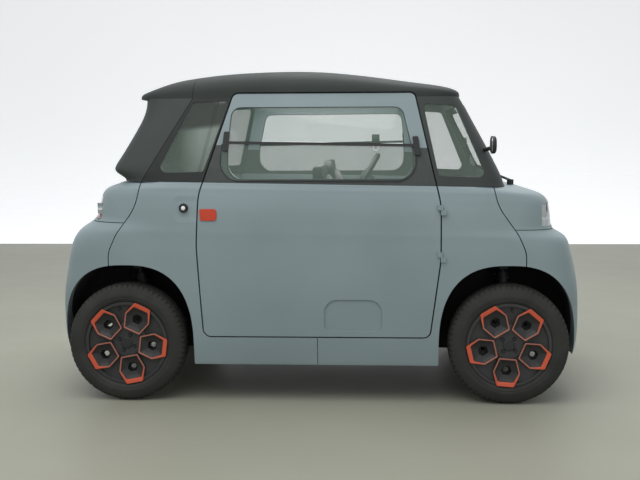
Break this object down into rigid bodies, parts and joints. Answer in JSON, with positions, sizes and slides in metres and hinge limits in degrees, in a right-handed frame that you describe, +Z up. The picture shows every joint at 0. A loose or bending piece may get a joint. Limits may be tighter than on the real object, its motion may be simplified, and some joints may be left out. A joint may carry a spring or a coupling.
{
  "type": "microcar",
  "caption": "Small electric city car with a rounded box body, side doors hinged at opposite ends, a dark glazed upper body, steered front wheels and hexagon-pierced rims.",
  "frame": {"origin": "on the ground under the middle of the car", "axes": "+X is the car's front, +Y its left side, +Z up"},
  "size_m": [2.4073, 1.592, 1.5181],
  "materials": {
    "body_plastic": "through-dyed satin plastic, grey-blue",
    "dark_plastic": "satin dark grey plastic",
    "black_plastic": "grained black plastic",
    "clear_glass": "clear glass",
    "roof_glass": "dark tinted glass",
    "lamp_clear": "clear lamp cover",
    "lamp_red": "red lamp cover",
    "lock_metal": "satin metal",
    "orange_plastic": "orange-red plastic",
    "orange_trim": "orange plastic",
    "frame_steel": "black coated steel",
    "cast_housing": "cast aluminium",
    "battery_case": "grey coated case",
    "floor_plastic": "grained floor moulding",
    "seat_fabric": "woven dark fabric over foam",
    "tyre_rubber": "matt rubber",
    "rim_paint": "satin dark grey paint"
  },
  "bodies": {
    "body": {"side_panel_front_right": "body_plastic", "side_panel_front_left": "body_plastic", "side_panel_rear_right": "body_plastic", "side_panel_rear_left": "body_plastic", "front_bumper": "body_plastic", "rear_bumper": "body_plastic", "nose_panel": "body_plastic", "tail_panel": "body_plastic", "headlamps": "lamp_clear", "tail_lamps": "lamp_red", "windscreen": "clear_glass", "windscreen_frame": "dark_plastic", "rear_window": "clear_glass", "rear_frame": "dark_plastic", "quarter_glass": "clear_glass", "roof_panel": "dark_plastic", "roof_glass": "roof_glass", "door_locks": "lock_metal", "chassis_frame": "frame_steel", "floor_tub": "floor_plastic", "wheel_liners": "black_plastic", "battery_pack": "battery_case", "drive_unit": "cast_housing", "front_suspension": "frame_steel", "rear_axle": "frame_steel", "seat_driver": "black_plastic", "seat_passenger": "black_plastic", "seat_pads": "seat_fabric", "dashboard": "black_plastic", "mirrors": "black_plastic", "wiper": "black_plastic"},
    "door_right": {"door_right": "body_plastic", "door_glass_right": "clear_glass", "door_bar_right": "black_plastic", "door_tag_right": "orange_plastic"},
    "door_left": {"door_left": "body_plastic", "door_glass_left": "clear_glass", "door_bar_left": "black_plastic", "door_tag_left": "orange_plastic"},
    "knuckle_right": {"knuckle_right": "frame_steel"},
    "knuckle_left": {"knuckle_left": "frame_steel"},
    "steering_wheel": {"steering_wheel": "black_plastic"},
    "wheel_front_right": {"wheel_front_right_tyre": "tyre_rubber", "wheel_front_right_rim": "rim_paint", "wheel_front_right_trim": "orange_trim"},
    "wheel_front_left": {"wheel_front_left_tyre": "tyre_rubber", "wheel_front_left_rim": "rim_paint", "wheel_front_left_trim": "orange_trim"},
    "wheel_rear_right": {"wheel_rear_right_tyre": "tyre_rubber", "wheel_rear_right_rim": "rim_paint", "wheel_rear_right_trim": "orange_trim"},
    "wheel_rear_left": {"wheel_rear_left_tyre": "tyre_rubber", "wheel_rear_left_rim": "rim_paint", "wheel_rear_left_trim": "orange_trim"}
  },
  "joints": [
    {"name": "door_right_hinge", "type": "hinge", "parent": "body", "child": "door_right", "pos_m": [0.566, -0.696, 0.76], "axis": [0, 0, 1], "range_deg": [0, 70]},
    {"name": "door_left_hinge", "type": "hinge", "parent": "body", "child": "door_left", "pos_m": [-0.533, 0.696, 0.76], "axis": [0, 0, 1], "range_deg": [0, 70]},
    {"name": "steer_left", "type": "hinge", "parent": "body", "child": "knuckle_left", "pos_m": [0.87, 0.545, 0.272], "axis": [0, 0, 1], "range_deg": [-30, 30]},
    {"name": "steer_right", "type": "hinge", "parent": "body", "child": "knuckle_right", "pos_m": [0.87, -0.545, 0.272], "axis": [0, 0, 1], "range_deg": [-30, 30]},
    {"name": "steering_wheel_turn", "type": "hinge", "parent": "body", "child": "steering_wheel", "pos_m": [0.205, 0.3, 0.983], "axis": [0.866, 0, -0.5], "range_deg": [-450, 450]},
    {"name": "wheel_front_right_spin", "type": "hinge", "parent": "knuckle_right", "child": "wheel_front_right", "pos_m": [0.87, -0.6, 0.272], "axis": [0, 1, 0], "continuous": true},
    {"name": "wheel_front_left_spin", "type": "hinge", "parent": "knuckle_left", "child": "wheel_front_left", "pos_m": [0.87, 0.6, 0.272], "axis": [0, 1, 0], "continuous": true},
    {"name": "wheel_rear_right_spin", "type": "hinge", "parent": "body", "child": "wheel_rear_right", "pos_m": [-0.87, -0.6, 0.272], "axis": [0, 1, 0], "continuous": true},
    {"name": "wheel_rear_left_spin", "type": "hinge", "parent": "body", "child": "wheel_rear_left", "pos_m": [-0.87, 0.6, 0.272], "axis": [0, 1, 0], "continuous": true}
  ],
  "couplings": [
    {"joint": "steer_right", "follows": "steer_left", "ratio": 1},
    {"joint": "steering_wheel_turn", "follows": "steer_left", "ratio": -15}
  ]
}
